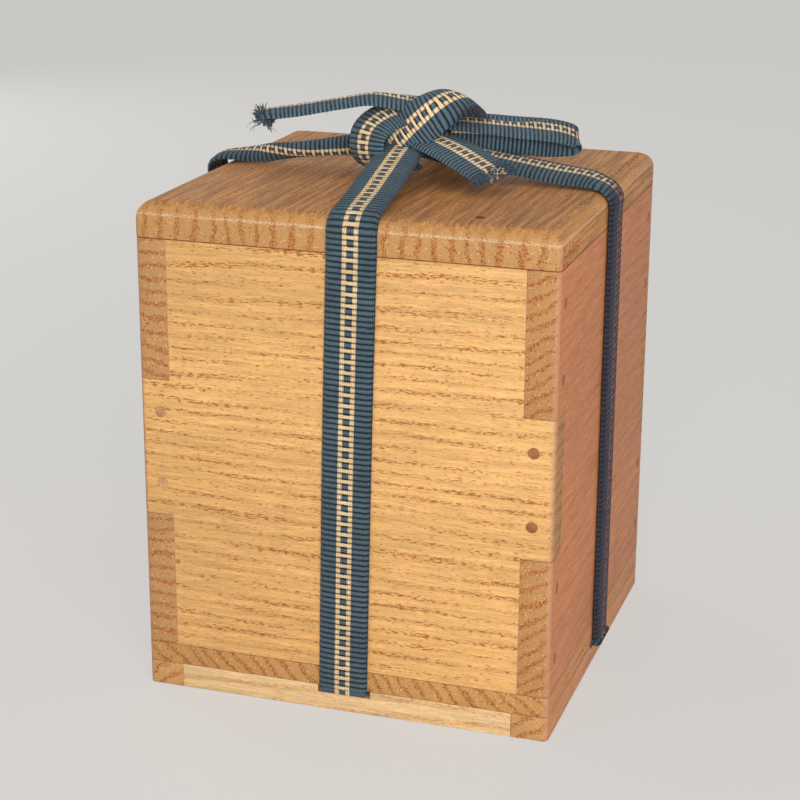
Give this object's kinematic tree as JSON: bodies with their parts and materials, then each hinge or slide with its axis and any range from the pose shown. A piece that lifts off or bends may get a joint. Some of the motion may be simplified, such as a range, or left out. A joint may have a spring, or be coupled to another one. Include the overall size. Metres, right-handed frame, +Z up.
{
  "type": "wooden tea caddy box",
  "caption": "Square wooden box with finger joints, a battened lid and a flat woven cord tied in a bow, holding a round black lacquer tea caddy with its own lid.",
  "frame": {"origin": "middle of the box's footprint, on the surface it stands on", "axes": "+X to the right, +Y away from the front, +Z up"},
  "size_m": [0.1024, 0.1024, 0.14],
  "materials": {
    "wall_wood": "planed pale paulownia, bare",
    "base_wood": "planed pale paulownia, bare",
    "rail_wood": "planed pale paulownia, bare",
    "peg_wood": "split wooden pegs, trimmed flush",
    "lid_wood": "planed paulownia, bare, darkened by handling",
    "batten_wood": "planed pale paulownia, bare",
    "woven_cord": "flat woven cotton, blue with two cream lines and rungs",
    "black_lacquer": "polished black lacquer on turned wood"
  },
  "bodies": {
    "box": {"front_wall": "wall_wood", "back_wall": "wall_wood", "left_wall": "wall_wood", "right_wall": "wall_wood", "bottom_board": "base_wood", "front_foot_rail": "rail_wood", "back_foot_rail": "rail_wood", "left_foot_rail": "rail_wood", "right_foot_rail": "rail_wood", "front_pegs": "peg_wood", "back_pegs": "peg_wood", "left_pegs": "peg_wood", "right_pegs": "peg_wood", "base_pegs": "peg_wood", "cord_under_front_back": "woven_cord", "cord_under_left_right": "woven_cord", "cord_front": "woven_cord", "cord_back": "woven_cord", "cord_left": "woven_cord", "cord_right": "woven_cord"},
    "lid": {"lid_board": "lid_wood", "front_batten": "batten_wood", "back_batten": "batten_wood", "left_batten": "batten_wood", "right_batten": "batten_wood", "cord_over_front": "woven_cord", "cord_over_back": "woven_cord", "cord_over_left": "woven_cord", "cord_over_right": "woven_cord", "cord_knot": "woven_cord", "cord_right_loop": "woven_cord", "cord_left_loop": "woven_cord", "cord_left_tail": "woven_cord", "cord_front_tail": "woven_cord"},
    "caddy": {"caddy_body": "black_lacquer"},
    "caddy_top": {"caddy_lid": "black_lacquer"}
  },
  "joints": [
    {"name": "lid_lift", "type": "slide", "parent": "box", "child": "lid", "axis": [0, 0, 1], "range_m": [0, 0.05], "deforming": ["cord_front", "cord_back", "cord_left", "cord_right"]},
    {"name": "caddy_lift", "type": "slide", "parent": "box", "child": "caddy", "axis": [0, 0, 1], "range_m": [0, 0.045]},
    {"name": "caddy_lid_lift", "type": "slide", "parent": "caddy", "child": "caddy_top", "axis": [0, 0, 1], "range_m": [0, 0.02]}
  ],
  "couplings": [
    {"joint": "caddy_lift", "follows": "lid_lift", "ratio": 0.9}
  ]
}
